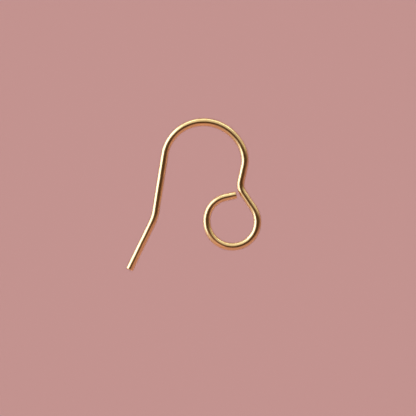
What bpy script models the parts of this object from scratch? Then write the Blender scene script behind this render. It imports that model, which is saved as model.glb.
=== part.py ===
"""Ear wire: one length of round gold-plated wire bent into an ear hook with an open loop.

The wire is bent in one plane and lies flat on the ground, in metres with +Z up. It starts
at the tail's tip, climbs the shank, turns over the bow that sits in the ear, comes down the
leg to the neck and curls round the loop that a drop hangs from. Every bend is an arc on the
wire's centreline, and a heading is the way the wire runs, in degrees anticlockwise from +X.
"""

import math
from collections import namedtuple

import bpy
from mathutils import Vector

# Wire
WIRE_DIAMETER = 0.0008
WIRE_SIDES = 16
TURN_PER_RING = 4.0
END_ROUNDING = 0.0001
END_RINGS = 3

# Tail, the straight end that goes through the ear, and the bend that splays it
TAIL_LENGTH = 0.0058
TAIL_HEADING = 63.9
TAIL_BEND_RADIUS = 0.0045

# Shank, the straight run behind the ear
SHANK_LENGTH = 0.0061
SHANK_HEADING = 81.5

# Bow over the ear, and the tighter shoulder where it meets the leg
BOW_INNER_DIAMETER = 0.0082
BOW_END_HEADING = -82.8
SHOULDER_RADIUS = 0.0033

# Leg in front of the ear, the neck at its foot, and the slanting drop to the loop
LEG_LENGTH = 0.00155
LEG_HEADING = -102.6
NECK_RADIUS = 0.0017
DROP_LENGTH = 0.00185
DROP_HEADING = -55.3

# Loop, and the straight end that stops short of the drop
LOOP_INNER_DIAMETER = 0.0048
LOOP_END_HEADING = -346.4
LOOP_GAP = 0.0002

WIRE_RADIUS = WIRE_DIAMETER / 2
BOW_RADIUS = BOW_INNER_DIAMETER / 2 + WIRE_RADIUS
LOOP_RADIUS = LOOP_INNER_DIAMETER / 2 + WIRE_RADIUS

Bend = namedtuple("Bend", "run radius heading")
Ring = namedtuple("Ring", "place radius")

# Each row is a straight run, then a bend of that radius which ends at that heading
BENDS = (
    Bend(TAIL_LENGTH, TAIL_BEND_RADIUS, SHANK_HEADING),
    Bend(SHANK_LENGTH, BOW_RADIUS, BOW_END_HEADING),
    Bend(0.0, SHOULDER_RADIUS, LEG_HEADING),
    Bend(LEG_LENGTH, NECK_RADIUS, DROP_HEADING),
    Bend(DROP_LENGTH, LOOP_RADIUS, LOOP_END_HEADING),
)


def direction(heading):
    """The unit vector along a heading."""
    angle = math.radians(heading)
    return Vector((math.cos(angle), math.sin(angle)))


def ring_headings(start, end):
    """The headings at which a bend has a ring, after its start and up to its end.

    They are odd multiples of half a step, so that a facet faces squarely along X or Y
    at the bow's crest and at the loop's foot.
    """
    low, high = sorted((start, end))
    first = math.floor(low / TURN_PER_RING - 0.5) + 1
    last = math.ceil(high / TURN_PER_RING - 0.5) - 1
    inner = [(step + 0.5) * TURN_PER_RING for step in range(first, last + 1)]
    inner = [heading for heading in inner if low < heading < high]
    return (inner if end > start else inner[::-1]) + [end]


def bend_points(start, heading, bend):
    """The points of one arc: its centre lies a radius to the side that the wire turns to."""
    side = math.copysign(bend.radius, bend.heading - heading)
    centre = start + side * direction(heading + 90)
    return [centre - side * direction(turned + 90) for turned in ring_headings(heading, bend.heading)]


def closing_run(loop_end, drop_start):
    """How far the wire runs on straight after the loop, to stop LOOP_GAP short of the drop.

    The corner of the cut end that comes nearest the drop's side sets the distance.
    """
    inward = direction(DROP_HEADING - 90)
    along = direction(LOOP_END_HEADING)
    across = direction(LOOP_END_HEADING + 90)
    needed = WIRE_RADIUS + LOOP_GAP + WIRE_RADIUS * abs(across.dot(inward))
    return ((loop_end - drop_start).dot(inward) - needed) / -along.dot(inward)


def centreline():
    """The wire's route from the tail's tip to the loop's cut end, as points in its plane."""
    points = [Vector((0.0, 0.0))]
    heading = TAIL_HEADING
    for bend in BENDS:
        run_start = points[-1]
        if bend.run:
            points.append(run_start + bend.run * direction(heading))
        points += bend_points(points[-1], heading, bend)
        heading = bend.heading
    points.append(points[-1] + closing_run(points[-1], run_start) * direction(heading))
    return points


def rounded_end(tip, next_place):
    """The rings of a cut end: from its flat face, whose rim is a quarter circle, to full size."""
    inward = (next_place - tip).normalized()
    rings = []
    for ring in range(END_RINGS + 1):
        angle = math.pi / 2 * ring / END_RINGS
        depth = END_ROUNDING * (1 - math.cos(angle))
        rings.append(Ring(tip + depth * inward, WIRE_RADIUS - END_ROUNDING * (1 - math.sin(angle))))
    return rings


def wire_rings():
    """Every ring of the wire in order, with both cut ends rounded."""
    route = centreline()
    tail_end = rounded_end(route[0], route[1])
    loop_end = rounded_end(route[-1], route[-2])
    return tail_end + [Ring(place, WIRE_RADIUS) for place in route[1:-1]] + loop_end[::-1]


def gold_material():
    """Bright yellow gold plate."""
    material = bpy.data.materials.new("gold_plate")
    material.use_nodes = True
    shader = material.node_tree.nodes["Principled BSDF"]
    shader.inputs["Base Color"].default_value = (0.91, 0.68, 0.33, 1.0)
    shader.inputs["Metallic"].default_value = 1.0
    shader.inputs["Roughness"].default_value = 0.12
    return material


def ear_wire(collection):
    """The whole wire as one tube whose flats touch the round wire, lowest flat downwards."""
    curve = bpy.data.curves.new("ear_wire", "CURVE")
    curve.dimensions = "3D"
    curve.twist_mode = "Z_UP"
    curve.bevel_depth = WIRE_RADIUS / math.cos(math.pi / WIRE_SIDES)
    curve.bevel_resolution = (WIRE_SIDES - 4) // 2
    curve.use_fill_caps = True
    rings = wire_rings()
    spline = curve.splines.new("POLY")
    spline.points.add(len(rings) - 1)
    for point, ring in zip(spline.points, rings):
        point.co = (ring.place.x, ring.place.y, WIRE_RADIUS, 1.0)
        point.radius = ring.radius / WIRE_RADIUS
        point.tilt = math.pi / WIRE_SIDES
    curve.materials.append(gold_material())
    wire = bpy.data.objects.new("ear_wire", curve)
    collection.objects.link(wire)
    return wire


def centre_on_origin(wire):
    """Puts the middle of the wire's outline over the origin, with its lowest flat at Z 0."""
    bpy.context.view_layer.update()
    tube = wire.evaluated_get(bpy.context.evaluated_depsgraph_get())
    corners = [vertex.co.copy() for vertex in tube.to_mesh().vertices]
    tube.to_mesh_clear()
    low = Vector(map(min, *corners))
    high = Vector(map(max, *corners))
    middle = (low + high) / 2
    wire.location = (-middle.x, -middle.y, -low.z)


def main():
    for obj in list(bpy.data.objects):
        bpy.data.objects.remove(obj)
    collection = bpy.data.collections.new("ear_wire")
    bpy.context.scene.collection.children.link(collection)
    wire = ear_wire(collection)
    centre_on_origin(wire)


main()
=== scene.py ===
"""The ear wire's finished look: drawn round wire, bent, cut, polished and gold plated.

The wire is one surface of two parameters, the distance along it and the turn round it. It takes
the construction's route, in metres, with the slight unevenness of hand bending. It lies on a
plain rose floor, and the camera looks straight down on it, face-on as in the photograph.
"""

import math
from collections import namedtuple

import bpy
import numpy as np
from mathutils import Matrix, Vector


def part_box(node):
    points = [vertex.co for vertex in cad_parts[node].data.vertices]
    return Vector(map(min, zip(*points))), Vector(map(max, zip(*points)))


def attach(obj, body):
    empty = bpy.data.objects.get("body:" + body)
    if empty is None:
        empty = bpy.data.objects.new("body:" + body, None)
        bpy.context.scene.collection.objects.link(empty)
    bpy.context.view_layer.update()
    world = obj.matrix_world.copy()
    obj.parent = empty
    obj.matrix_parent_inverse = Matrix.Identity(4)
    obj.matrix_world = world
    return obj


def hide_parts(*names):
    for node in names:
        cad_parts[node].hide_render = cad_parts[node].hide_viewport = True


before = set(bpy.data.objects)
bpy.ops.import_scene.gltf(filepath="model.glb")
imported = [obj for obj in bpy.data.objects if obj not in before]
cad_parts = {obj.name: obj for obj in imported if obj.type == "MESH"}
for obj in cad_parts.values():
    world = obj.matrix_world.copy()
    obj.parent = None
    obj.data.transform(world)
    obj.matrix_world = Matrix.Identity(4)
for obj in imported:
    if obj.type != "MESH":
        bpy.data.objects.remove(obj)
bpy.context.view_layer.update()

MM = 0.001

# Wire, with a shallow dome on each cut face and a rounding round its rim
WIRE_DIAMETER = 0.8 * MM
WIRE_RADIUS = WIRE_DIAMETER / 2
END_ROUNDING = 0.1 * MM
END_DOME = 0.012 * MM

# Route: straight runs, each followed by a bend that ends at a heading in degrees. The bow and the
# loop are bent by hand, so each is a few arcs that stay within 0.07 mm of the construction's
Bend = namedtuple("Bend", "run radius heading")
TAIL_TIP = (-7.133 * MM, -8.312 * MM)
TAIL_HEADING = 64.0
# Tail and its bend, shank and the bow's four arcs, shoulder, leg and neck
HOOK = (
    Bend(5.72 * MM, 4.77 * MM, 81.0),
    Bend(6.35 * MM, 4.26 * MM, 26.6),
    Bend(0.0, 4.48 * MM, -25.7),
    Bend(0.0, 4.97 * MM, -60.2),
    Bend(0.0, 3.78 * MM, -80.4),
    Bend(0.0, 3.14 * MM, -102.7),
    Bend(1.71 * MM, 1.59 * MM, -56.1),
)
# Drop and the loop's four arcs, and the gap that the straight end leaves to the drop
LOOP = (
    Bend(2.05 * MM, 2.75 * MM, -148.3),
    Bend(0.0, 2.83 * MM, -238.1),
    Bend(0.0, 2.91 * MM, -284.0),
    Bend(0.0, 2.56 * MM, -347.6),
)
LOOP_GAP = 0.2 * MM
# The metal eases into and out of a bend over this length
BEND_EASING = 0.3 * MM

# Where the wire is planished a little wider: the middle and reach along it, and the share that
# it is wider. The other way it gets thinner, by this part of that share
Planished = namedtuple("Planished", "middle reach share")
PLANISHED = (
    Planished(20.2 * MM, 3.3 * MM, 0.08),
    Planished(37.5 * MM, 4.0 * MM, 0.045),
)
PLANISHED_THINNER = 0.5

# Fineness of the surface. The innermost ring of a cut face is this share of the face's radius
RING_SPACING = 0.06 * MM
SIDES = 48
FACE_RINGS = 6
RIM_RINGS = 7
FACE_MIDDLE = 0.04

# Slight waviness that drawing and hand polishing leave, as depth and length of the waves
WAVE_DEPTH = 0.0009 * MM
WAVE_LENGTHS = (0.83 * MM, 1.37 * MM, 2.9 * MM)

# Marks in the polish: the size of a mark in mm along and round the wire, its slant in degrees,
# how much finer detail it has, and how deep it is
Marks = namedtuple("Marks", "long wide slant detail depth")
DRAW_LINES = Marks(2.8, 0.06, 0.0, 3.0, 0.0025 * MM)
DIE_LINES = Marks(3.0, 0.16, -6.0, 2.0, 0.0050 * MM)
HAIRLINES = Marks(0.11, 1.25, -24.0, 2.0, 0.0020 * MM)
MARKS_CRISPNESS = 0.6

# Roughness of the plate, from where hardly any lines cross to where many do, and what a cut
# face adds to it
LINES_CROSS_LEAST = 0.1
LINES_CROSS_MOST = 0.45
SMOOTHEST = 0.18
DULLEST = 0.27
CUT_DULLER = 0.12

# Gold plate: its colour drifts over patches of this size, from deep gold where their noise is
# below the one value to pale gold where it is above the other
GOLD_DEEP = (0.94, 0.655, 0.315)
GOLD_PALE = (0.98, 0.715, 0.365)
GOLD_DEEP_BELOW = 0.3
GOLD_PALE_ABOVE = 0.7
GOLD_PATCH = 2.4 * MM
GOLD_PATCH_DETAIL = 3.0
GOLD_PATCH_CRISPNESS = 0.5

# Framing, from the photograph: pixels to the millimetre, and where the object's middle lies
PHOTO_SIZE = 416
PIXELS_PER_MM = 9.017
MIDDLE_PIXEL = (193.61, 194.76)
CAMERA_HEIGHT = 0.5
CAMERA_NEAREST = 0.01
SENSOR_WIDTH = 36.0

# Floor: matt to the camera, while the wire mirrors a satin sheet that lies on it
FLOOR_COLOUR = (0.435, 0.232, 0.219)
SATIN_COLOUR = (0.48, 0.25, 0.245)
SATIN_ROUGHNESS = 0.28
SATIN_IOR = 3.4
SATIN_HEIGHT = 0.001 * MM
FLOOR_FLAT_RADIUS = 0.55
FLOOR_EDGE_RADIUS = 0.9
FLOOR_EDGE_RISE = 0.08
FLOOR_FLAT_RINGS = (0.02, 0.1, 0.3)
FLOOR_EDGE_RINGS = 12
FLOOR_SIDES = 96

# Light: the studio's brightness by direction round the wire, in degrees anticlockwise from +X
RingStop = namedtuple("RingStop", "azimuth colour")
STUDIO_RING = (
    RingStop(-180, (0.70, 0.70, 0.70)),
    RingStop(-158, (0.95, 0.95, 0.95)),
    RingStop(-143, (0.66, 0.52, 0.48)),
    RingStop(-120, (0.56, 0.32, 0.29)),
    RingStop(-19, (0.53, 0.29, 0.27)),
    RingStop(-5, (0.30, 0.17, 0.14)),
    RingStop(5, (0.12, 0.09, 0.06)),
    RingStop(25, (0.54, 0.49, 0.38)),
    RingStop(60, (0.72, 0.67, 0.60)),
    RingStop(95, (0.80, 0.77, 0.68)),
    RingStop(125, (1.00, 0.98, 0.92)),
    RingStop(180, (0.70, 0.70, 0.70)),
)
# Overhead the studio is dark: an oval laid out on a direction's X and Y, which are 0 overhead.
# It is darkest within the one multiple of its size, and fades out up to the other
STUDIO_TOP_COLOUR = (0.055, 0.022, 0.004)
STUDIO_DARK_MIDDLE = (0.10, -0.08)
STUDIO_DARK_REACH = (0.80, 0.47)
STUDIO_DARK_TURN = -4.0
STUDIO_DARK_WITHIN = 0.5
STUDIO_LIT_BEYOND = 1.35

# Soft panels that the wire mirrors, each standing on the floor, sized in degrees of its view
Panel = namedtuple("Panel", "azimuth spread top brightness colour")
PANELS = {
    "key": Panel(164.0, 70.0, 47.0, 1.9, (0.62, 0.78, 1.0)),
    "edge": Panel(142.0, 80.0, 16.0, 2.0, (0.48, 0.84, 1.0)),
    "fill": Panel(80.0, 60.0, 14.0, 1.75, (0.55, 0.92, 0.88)),
    "side": Panel(40.0, 40.0, 9.0, 1.2, (0.45, 0.92, 0.80)),
}
PANEL_DISTANCE = 0.35

# A small round rose card that the tail mirrors, and the place on the tail that it faces
CARD_TARGET = (-0.0059, -0.0059, 0.0004)
CARD_PLACE = (-0.0004, -0.0086, 0.0080)
CARD_SIZE = 0.008
CARD_BRIGHTNESS = 0.30
CARD_COLOUR = (1.0, 0.55, 0.50)

# The floor's own light: an overhead softbox that throws a soft shadow, and an even fill without one
SOFTBOX_PLACE = (0.002, -0.002, 0.40)
SOFTBOX_SIZE = 0.21
SOFTBOX_ENERGY = 1.16
FILL_STRENGTH = 1.80


def directions(headings):
    """Unit vectors (cos h, sin h) along headings in radians."""
    return np.stack([np.cos(headings), np.sin(headings)], axis=-1)


def between(stations, along, points):
    """The points at these distances along a line, each in proportion between its neighbours."""
    return np.stack([np.interp(stations, along, axis) for axis in points.T], axis=-1)


def heading_table(last_run):
    """Distances along the wire, and the heading at each: level on a run, linear round a bend.

    A run adds its length to the distance, and a bend adds its radius times its turn.
    """
    places = [0.0]
    headings = [TAIL_HEADING]
    for bend in HOOK + LOOP:
        places.append(places[-1] + bend.run)
        headings.append(headings[-1])
        turn = math.radians(abs(bend.heading - headings[-1]))
        places.append(places[-1] + bend.radius * turn)
        headings.append(bend.heading)
    places.append(places[-1] + last_run)
    headings.append(headings[-1])
    return np.array(places), np.radians(headings)


def follow(places, headings, easing):
    """The route as finely spaced distances, points and headings.

    The heading is read from the table and averaged over the easing length, and a point is the
    running sum of the steps along the heading half-way through each step.
    """
    count = int(round(places[-1] / RING_SPACING)) + 1
    along = np.linspace(0.0, places[-1], count)
    step = along[1]
    half_window = int(round(easing / step / 2))
    window = 2 * half_window + 1
    padded = np.pad(np.interp(along, places, headings), half_window, mode="edge")
    eased = np.convolve(padded, np.full(window, 1.0 / window), mode="valid")
    middles = (eased[1:] + eased[:-1]) / 2
    points = TAIL_TIP + np.vstack([np.zeros(2), np.cumsum(step * directions(middles), axis=0)])
    return along, points, eased


def closing_run():
    """The straight length after the loop that stops the cut end LOOP_GAP short of the drop.

    It is the way from the loop's end to the drop's centreline, square to the drop, less the
    drop's radius, the gap and the cut end's half width in that direction, divided by how much
    of it each step along the straight end covers.
    """
    places, headings = heading_table(0.0)
    along, points, _ = follow(places, headings, 0.0)
    drop_start = between(places[2 * len(HOOK)], along, points)
    inward = directions(math.radians(HOOK[-1].heading - 90))
    forward = directions(math.radians(LOOP[-1].heading))
    across = directions(math.radians(LOOP[-1].heading + 90))
    needed = WIRE_RADIUS + LOOP_GAP + WIRE_RADIUS * abs(across @ inward)
    return float(((points[-1] - drop_start) @ inward - needed) / -(forward @ inward))


def end_profile():
    """Depth and radius of the rings of a cut end, from the middle of its face to full size.

    The face is a shallow dome, depth = dome * (radius / face radius) squared. The rim is a
    quarter of an oval, depth = dome + (rounding - dome) * (1 - cos turn) and
    radius = face radius + rounding * sin turn.
    """
    face_radius = WIRE_RADIUS - END_ROUNDING
    share = np.linspace(FACE_MIDDLE, 1.0, FACE_RINGS)
    face = np.stack([END_DOME * share**2, face_radius * share])
    turn = np.linspace(0.0, math.pi / 2, RIM_RINGS)[1:]
    rim_depth = END_DOME + (END_ROUNDING - END_DOME) * (1 - np.cos(turn))
    rim_radius = face_radius + END_ROUNDING * np.sin(turn)
    return np.hstack([face, np.stack([rim_depth, rim_radius])])


def wire_rings(along):
    """Distance and radius of every ring: one end's profile, the wire at full size, the other end's."""
    depth, radius = end_profile()
    total = along[-1]
    full = along[(along > END_ROUNDING) & (along < total - END_ROUNDING)]
    stations = np.concatenate([depth, full, total - depth[::-1]])
    radii = np.concatenate([radius, np.full(len(full), WIRE_RADIUS), radius[::-1]])
    return stations, radii


def waviness(stations, turn):
    """Height of the waves on the wire, on the grid of rings and sides.

    It is the sum of depth * sin(2 pi * distance / length + number * turn), where the number of
    the first wave is 1.
    """
    waves = np.zeros((len(stations), len(turn)))
    for number, length in enumerate(WAVE_LENGTHS, start=1):
        waves += WAVE_DEPTH * np.sin(2 * math.pi * stations[:, None] / length + number * turn)
    return waves


def planished(stations):
    """How much wider the wire is at each distance, as a share of its width.

    It is the sum of share * exp(-((distance - middle) / reach) squared).
    """
    wider = np.zeros(len(stations))
    for place in PLANISHED:
        wider += place.share * np.exp(-(((stations - place.middle) / place.reach) ** 2))
    return wider


def wire_surface():
    """Vertices of the wire on a grid of rings and sides, with two maps of the same grid.

    A vertex lies size * cos(turn) * (1 + wider) to the right-hand side of the route, so that the
    faces look outwards, and its height is radius + size * sin(turn) * (1 - thinner * wider).
    The size is the ring's radius times (1 + waviness / the wire's radius). The turn starts at
    the underside, where the UV seam is out of sight.

    The unrolled map is the distance along the wire and the length round it. The map across the
    wire is the place in its cross-section, which the flat cut faces use.
    """
    along, points, headings = follow(*heading_table(closing_run()), BEND_EASING)
    stations, radii = wire_rings(along)
    centres = between(stations, along, points)
    side = directions(np.interp(stations, along, headings) - math.pi / 2)
    turn = np.linspace(0.0, 2 * math.pi, SIDES + 1) - math.pi / 2

    size = radii[:, None] * (1 + waviness(stations, turn) / WIRE_RADIUS)
    wider = planished(stations)[:, None]
    sideways = size * np.cos(turn) * (1 + wider)
    height = WIRE_RADIUS + size * np.sin(turn) * (1 - PLANISHED_THINNER * wider)
    flat = centres[:, None, :] + sideways[:, :, None] * side[:, None, :]
    grid = np.concatenate([flat, height[:, :, None]], axis=2)
    unrolled = np.stack(np.broadcast_arrays(stations[:, None], WIRE_RADIUS * turn), axis=-1)
    across = radii[:, None, None] * directions(turn)
    return grid, unrolled, across


def grid_faces(rings, sides):
    """Quads between neighbouring rings, closed round the wire, and a polygon on each end ring."""
    ring = np.arange(rings - 1)[:, None] * sides
    side = np.arange(sides)[None, :]
    after = (side + 1) % sides
    quads = np.stack([ring + side, ring + sides + side, ring + sides + after, ring + after], axis=-1)
    last = (rings - 1) * sides
    caps = [list(range(sides)), list(range(last + sides - 1, last - 1, -1))]
    return quads.reshape(-1, 4).tolist() + caps


def wire_mesh():
    """The wire as a smooth closed mesh, as low as the constructed wire, with a UV map in mm.

    A face of the mesh takes the map across the wire where it lies on a cut face, and the
    unrolled map elsewhere. The attribute "cut" is 1 on the cut faces and 0 elsewhere.
    """
    grid, unrolled, across = wire_surface()
    rings = len(grid)
    vertices = grid[:, :SIDES].reshape(-1, 3)
    low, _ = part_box("ear_wire")
    vertices[:, 2] += low[2] - vertices[:, 2].min()

    mesh = bpy.data.meshes.new("gold_wire")
    mesh.from_pydata(vertices.tolist(), [], grid_faces(rings, SIDES))
    mesh.shade_smooth()
    ring = np.arange(rings - 1)[:, None]
    side = np.arange(SIDES)[None, :]
    on_cut = (ring < FACE_RINGS - 1) | (ring >= rings - FACE_RINGS)
    corners = [(ring, side), (ring + 1, side), (ring + 1, side + 1), (ring, side + 1)]
    placed = [np.where(on_cut[:, :, None], across[corner], unrolled[corner]) for corner in corners]
    caps = np.concatenate([across[0, :SIDES], across[-1, SIDES - 1 :: -1]])
    spread = np.concatenate([np.stack(placed, axis=2).reshape(-1), caps.reshape(-1)])
    uv = mesh.uv_layers.new(name="surface")
    uv.data.foreach_set("uv", spread / MM)
    face_cut = np.broadcast_to(on_cut, (rings - 1, SIDES)).reshape(-1)
    cut = mesh.attributes.new("cut", "FLOAT", "FACE")
    cut.data.foreach_set("value", np.concatenate([face_cut, [1, 1]]).astype(np.float32))
    return mesh


def new_material(name):
    """A material made of nodes, and its shader."""
    material = bpy.data.materials.new(name)
    material.use_nodes = True
    return material, material.node_tree.nodes["Principled BSDF"]


def set_inputs(node, values):
    """Gives a node's inputs constant values, by name or number."""
    for key, value in values.items():
        node.inputs[key].default_value = value


def add_node(tree, kind, inputs=None, **settings):
    """A shader node with its properties set, and its inputs too where they are given."""
    node = tree.nodes.new(kind)
    for name, value in settings.items():
        setattr(node, name, value)
    set_inputs(node, inputs or {})
    return node


def marks_node(tree, surface, marks):
    """Noise on the wire's UV map in mm, stretched to the marks' size and turned by their slant."""
    turned = (0.0, 0.0, math.radians(marks.slant))
    stretched = (marks.long, marks.wide, 1.0)
    fit = {"Rotation": turned, "Scale": stretched}
    placed = add_node(tree, "ShaderNodeMapping", fit, vector_type="TEXTURE")
    tree.links.new(surface.outputs["UV"], placed.inputs["Vector"])
    grain = {"Scale": 1.0, "Detail": marks.detail, "Roughness": MARKS_CRISPNESS}
    noise = add_node(tree, "ShaderNodeTexNoise", grain)
    tree.links.new(placed.outputs["Vector"], noise.inputs["Vector"])
    return noise


def gold_tint(tree):
    """A soft bloom in the plating: noise in patches that drifts between two golds."""
    place = add_node(tree, "ShaderNodeTexCoord")
    patches = {"Scale": 1.0 / GOLD_PATCH, "Detail": GOLD_PATCH_DETAIL, "Roughness": GOLD_PATCH_CRISPNESS}
    bloom = add_node(tree, "ShaderNodeTexNoise", patches)
    tree.links.new(place.outputs["Object"], bloom.inputs["Vector"])
    tint = add_node(tree, "ShaderNodeValToRGB")
    deep, pale = tint.color_ramp.elements
    deep.position, deep.color = GOLD_DEEP_BELOW, (*GOLD_DEEP, 1.0)
    pale.position, pale.color = GOLD_PALE_ABOVE, (*GOLD_PALE, 1.0)
    tree.links.new(bloom.outputs["Fac"], tint.inputs["Fac"])
    return tint


def gold_dullness(tree, heights):
    """Roughness of the plate: duller where draw lines and hairlines cross, and on the cut faces.

    It goes from smoothest to dullest with the two noises' product. A cut face adds its own
    share, for the lines that run straight across it as a file leaves them.
    """
    crossed = add_node(tree, "ShaderNodeMath", operation="MULTIPLY")
    tree.links.new(heights[DRAW_LINES].outputs["Fac"], crossed.inputs[0])
    tree.links.new(heights[HAIRLINES].outputs["Fac"], crossed.inputs[1])
    reach = {"From Min": LINES_CROSS_LEAST, "From Max": LINES_CROSS_MOST}
    gloss = add_node(tree, "ShaderNodeMapRange", {**reach, "To Min": SMOOTHEST, "To Max": DULLEST})
    tree.links.new(crossed.outputs["Value"], gloss.inputs["Value"])
    cut = add_node(tree, "ShaderNodeAttribute", attribute_name="cut")
    duller = add_node(tree, "ShaderNodeMath", {1: CUT_DULLER}, operation="MULTIPLY_ADD")
    tree.links.new(cut.outputs["Fac"], duller.inputs[0])
    tree.links.new(gloss.outputs["Result"], duller.inputs[2])
    return duller


def marks_relief(tree, heights):
    """Each kind of mark lifts the surface by its noise times its depth, one on top of the other."""
    below = None
    for marks, height in heights.items():
        bump = add_node(tree, "ShaderNodeBump", {"Strength": 1.0, "Distance": marks.depth})
        tree.links.new(height.outputs["Fac"], bump.inputs["Height"])
        if below:
            tree.links.new(below.outputs["Normal"], bump.inputs["Normal"])
        below = bump
    return below


def gold_material():
    """Polished gold plate: fine draw lines and die lines along the wire, hairlines across it."""
    material, shader = new_material("gold_plate")
    tree = material.node_tree
    surface = add_node(tree, "ShaderNodeUVMap", uv_map="surface")
    heights = {marks: marks_node(tree, surface, marks) for marks in (DIE_LINES, DRAW_LINES, HAIRLINES)}
    set_inputs(shader, {"Metallic": 1.0})
    tree.links.new(gold_tint(tree).outputs["Color"], shader.inputs["Base Color"])
    tree.links.new(gold_dullness(tree, heights).outputs["Value"], shader.inputs["Roughness"])
    tree.links.new(marks_relief(tree, heights).outputs["Normal"], shader.inputs["Normal"])
    return material


def add_object(name, mesh, material):
    """Puts a mesh into the scene as an object at the origin, with its material."""
    mesh.materials.append(material)
    made = bpy.data.objects.new(name, mesh)
    bpy.context.scene.collection.objects.link(made)
    return made


def gold_wire():
    """The wire itself, standing for the constructed one. It throws no glow on the floor."""
    wire = add_object("gold_wire", wire_mesh(), gold_material())
    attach(wire, "root")
    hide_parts("ear_wire")
    wire.visible_diffuse = False


def floor_mesh(name, level):
    """A round floor of rings about its middle, level out to the flat radius.

    Beyond it the floor rises by edge rise * (share of the way to the edge) squared.
    """
    edge_rings = np.linspace(FLOOR_FLAT_RADIUS, FLOOR_EDGE_RADIUS, FLOOR_EDGE_RINGS)
    reach = np.concatenate([FLOOR_FLAT_RINGS, edge_rings])
    beyond = np.clip((reach - FLOOR_FLAT_RADIUS) / (FLOOR_EDGE_RADIUS - FLOOR_FLAT_RADIUS), 0, 1)
    turn = np.linspace(0.0, 2 * math.pi, FLOOR_SIDES, endpoint=False)
    flat = reach[:, None, None] * directions(turn)
    rise = (level + FLOOR_EDGE_RISE * beyond**2)[:, None, None]
    height = np.broadcast_to(rise, (len(reach), FLOOR_SIDES, 1))
    vertices = np.concatenate([flat, height], axis=2).reshape(-1, 3)
    open_at_edge = grid_faces(len(reach), FLOOR_SIDES)[:-1]
    mesh = bpy.data.meshes.new(name)
    mesh.from_pydata(vertices.tolist(), [], open_at_edge)
    mesh.shade_smooth()
    return mesh


def matt_floor():
    """The plain rose floor that the camera sees, without gloss, so that low views stay even."""
    material, shader = new_material("matt_floor")
    matt = {"Base Color": (*FLOOR_COLOUR, 1.0), "Roughness": 1.0, "Specular IOR Level": 0.0}
    set_inputs(shader, matt)
    ground = add_object("floor", floor_mesh("floor", 0.0), material)
    ground.visible_glossy = False


def satin_sheet():
    """The satin sheet that only the wire's gloss sees, with the panels' light in it."""
    material, shader = new_material("satin_sheet")
    satin = {"Base Color": (*SATIN_COLOUR, 1.0), "Roughness": SATIN_ROUGHNESS, "IOR": SATIN_IOR}
    set_inputs(shader, satin)
    sheet = add_object("satin_sheet", floor_mesh("satin_sheet", SATIN_HEIGHT), material)
    sheet.visible_camera = False
    sheet.visible_diffuse = False
    sheet.visible_shadow = False


def studio_ring(tree, direction):
    """The studio's colour round the wire, from stop to stop.

    The gradient goes from 0 to 1 over the full turn between the first stop and the last.
    """
    around = add_node(tree, "ShaderNodeTexGradient", gradient_type="RADIAL")
    tree.links.new(direction.outputs["Generated"], around.inputs["Vector"])
    ring = add_node(tree, "ShaderNodeValToRGB")
    first, last = STUDIO_RING[0].azimuth, STUDIO_RING[-1].azimuth
    places = [(stop.azimuth - first) / (last - first) for stop in STUDIO_RING]
    elements = ring.color_ramp.elements
    for place in places[1:-1]:
        elements.new(place)
    for element, place, stop in zip(elements, places, STUDIO_RING):
        element.position = place
        element.color = (*stop.colour, 1.0)
    tree.links.new(around.outputs["Fac"], ring.inputs["Fac"])
    return ring


def studio_darkness(tree, direction):
    """How dark the studio is in a direction: 1 near the oval's middle, 0 well beyond its edge.

    The direction's X and Y, in shares of the oval's reach from its middle, have a length that is
    1 on the oval. The darkness falls smoothly between the two named lengths.
    """
    flattened = add_node(tree, "ShaderNodeVectorMath", {1: (1.0, 1.0, 0.0)}, operation="MULTIPLY")
    tree.links.new(direction.outputs["Generated"], flattened.inputs[0])
    middle = (*STUDIO_DARK_MIDDLE, 0.0)
    turned = (0.0, 0.0, math.radians(STUDIO_DARK_TURN))
    stretched = (*STUDIO_DARK_REACH, 1.0)
    fit = {"Location": middle, "Rotation": turned, "Scale": stretched}
    oval = add_node(tree, "ShaderNodeMapping", fit, vector_type="TEXTURE")
    tree.links.new(flattened.outputs["Vector"], oval.inputs["Vector"])
    outward = add_node(tree, "ShaderNodeVectorMath", operation="LENGTH")
    tree.links.new(oval.outputs["Vector"], outward.inputs[0])
    edge = {"From Min": STUDIO_LIT_BEYOND, "From Max": STUDIO_DARK_WITHIN}
    darkness = add_node(tree, "ShaderNodeMapRange", edge, interpolation_type="SMOOTHSTEP")
    tree.links.new(outward.outputs["Value"], darkness.inputs["Value"])
    return darkness


def studio_world():
    """The studio round the wire: a soft ring of brightness that goes dark overhead."""
    world = bpy.data.worlds.new("studio")
    bpy.context.scene.world = world
    world.use_nodes = True
    world.cycles_visibility.diffuse = False
    tree = world.node_tree
    direction = add_node(tree, "ShaderNodeTexCoord")
    both = add_node(tree, "ShaderNodeMix", {"B": (*STUDIO_TOP_COLOUR, 1.0)}, data_type="RGBA")
    tree.links.new(studio_darkness(tree, direction).outputs["Result"], both.inputs["Factor"])
    tree.links.new(studio_ring(tree, direction).outputs["Color"], both.inputs["A"])
    tree.links.new(both.outputs["Result"], tree.nodes["Background"].inputs["Color"])


def add_lamp(name, kind, energy, for_gloss):
    """A lamp that the camera doesn't see. It lights gloss alone, or else what is matt alone."""
    light = bpy.data.lights.new(name, kind)
    light.energy = energy
    lamp = bpy.data.objects.new(name, light)
    lamp.visible_camera = False
    lamp.visible_glossy = for_gloss
    lamp.visible_diffuse = not for_gloss
    bpy.context.scene.collection.objects.link(lamp)
    return lamp


def glow(brightness, area):
    """The energy that gives an area lamp its brightness as seen: brightness * pi * area."""
    return brightness * math.pi * area


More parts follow.
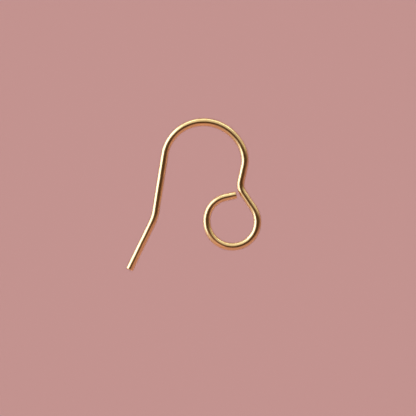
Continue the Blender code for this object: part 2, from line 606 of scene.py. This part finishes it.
def soft_panel(name, panel):
    """A panel that fills its spread by its top of the wire's view, from the floor up.

    Its middle is at half its top, and each of its sides is 2 * distance * tan(half its angle).
    """
    azimuth = math.radians(panel.azimuth)
    lift = math.radians(panel.top / 2)
    width = 2 * PANEL_DISTANCE * math.tan(math.radians(panel.spread / 2))
    height = 2 * PANEL_DISTANCE * math.tan(lift)
    lamp = add_lamp(name, "AREA", glow(panel.brightness, width * height), for_gloss=True)
    lamp.data.shape = "RECTANGLE"
    lamp.data.size = width
    lamp.data.size_y = height
    lamp.data.color = panel.colour
    lamp.location = PANEL_DISTANCE * np.array([*(directions(azimuth) * math.cos(lift)), math.sin(lift)])
    lamp.rotation_euler = (math.pi / 2 - lift, 0.0, azimuth + math.pi / 2)


def round_lamp(lamp, size, place, target):
    """Makes an area lamp a disk that stands at its place and faces its target."""
    lamp.data.shape = "DISK"
    lamp.data.size = size
    lamp.location = place
    lamp.rotation_euler = (Vector(place) - Vector(target)).to_track_quat("Z", "Y").to_euler()


def bounce_card():
    """A small rose card above and beside the tail, turned to it, that the tail mirrors."""
    area = math.pi * (CARD_SIZE / 2) ** 2
    card = add_lamp("card", "AREA", glow(CARD_BRIGHTNESS, area), for_gloss=True)
    card.data.color = CARD_COLOUR
    round_lamp(card, CARD_SIZE, CARD_PLACE, CARD_TARGET)


def floor_lights():
    """The round softbox over the wire, and the even fill that keeps far floor and shadow light."""
    softbox = add_lamp("softbox", "AREA", SOFTBOX_ENERGY, for_gloss=False)
    round_lamp(softbox, SOFTBOX_SIZE, SOFTBOX_PLACE, (0.0, 0.0, 0.0))
    fill = add_lamp("floor_fill", "SUN", FILL_STRENGTH, for_gloss=False)
    fill.data.use_shadow = False


def camera():
    """Looks straight down, with the object's middle on its pixel in the photograph's frame.

    The lens is sensor width * distance / the width of the frame at the wire's middle height.
    """
    data = bpy.data.cameras.new("camera")
    data.sensor_width = SENSOR_WIDTH
    frame_width = PHOTO_SIZE / PIXELS_PER_MM * MM
    data.lens = SENSOR_WIDTH * (CAMERA_HEIGHT - WIRE_RADIUS) / frame_width
    data.clip_start = CAMERA_NEAREST
    viewer = bpy.data.objects.new("camera", data)
    pixel = MM / PIXELS_PER_MM
    low, high = [np.array(corner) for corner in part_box("ear_wire")]
    middle = (low + high) / 2
    viewer.location = (
        middle[0] + (PHOTO_SIZE / 2 - MIDDLE_PIXEL[0]) * pixel,
        middle[1] - (PHOTO_SIZE / 2 - MIDDLE_PIXEL[1]) * pixel,
        CAMERA_HEIGHT,
    )
    bpy.context.scene.collection.objects.link(viewer)
    bpy.context.scene.camera = viewer


def main():
    """Makes the wire, the floor that it lies on, the light and the camera."""
    bpy.context.scene.view_settings.view_transform = "Standard"
    gold_wire()
    matt_floor()
    satin_sheet()
    studio_world()
    for name, panel in PANELS.items():
        soft_panel(name, panel)
    bounce_card()
    floor_lights()
    camera()


main()
